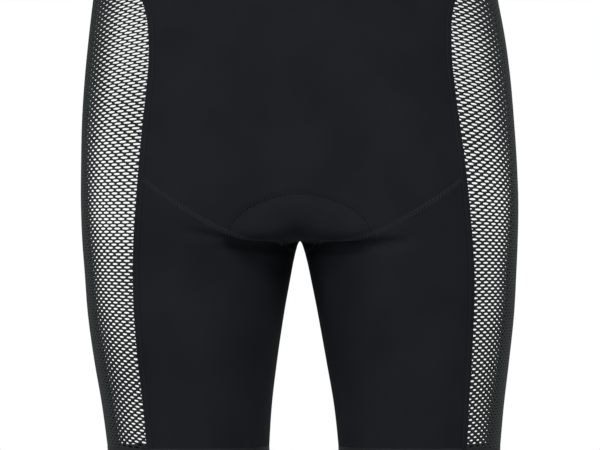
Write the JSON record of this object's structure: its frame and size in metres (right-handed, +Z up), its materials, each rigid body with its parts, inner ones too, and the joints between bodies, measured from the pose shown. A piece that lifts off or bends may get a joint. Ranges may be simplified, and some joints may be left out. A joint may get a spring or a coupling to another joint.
{
  "type": "cycling shorts, worn form",
  "caption": "Close-fitting cycling shorts with net side panels and a sewn-in seat pad, filled out as worn, hollow and open at the waist and legs.",
  "frame": {"origin": "middle of the waist opening, level with the waistband's upper edge, where the wearer's waist holds the shorts up", "axes": "+Z up, the front faces -Y, and +X is the wearer's left"},
  "size_m": [0.3553, 0.2377, 0.438],
  "materials": {
    "lycra": "black stretch knit, smooth, with a faint satin sheen",
    "net": "open black warp-knit net with oval gaps",
    "elastic": "matt black woven elastic",
    "pad": "dark grey brushed fleece over foam"
  },
  "bodies": {
    "root": {"front": "lycra", "back": "lycra", "leg_left": "lycra", "leg_right": "lycra", "net_left": "net", "net_right": "net", "waistband": "elastic", "hem_left": "elastic", "hem_right": "elastic", "seat_pad": "pad"}
  },
  "joints": []
}
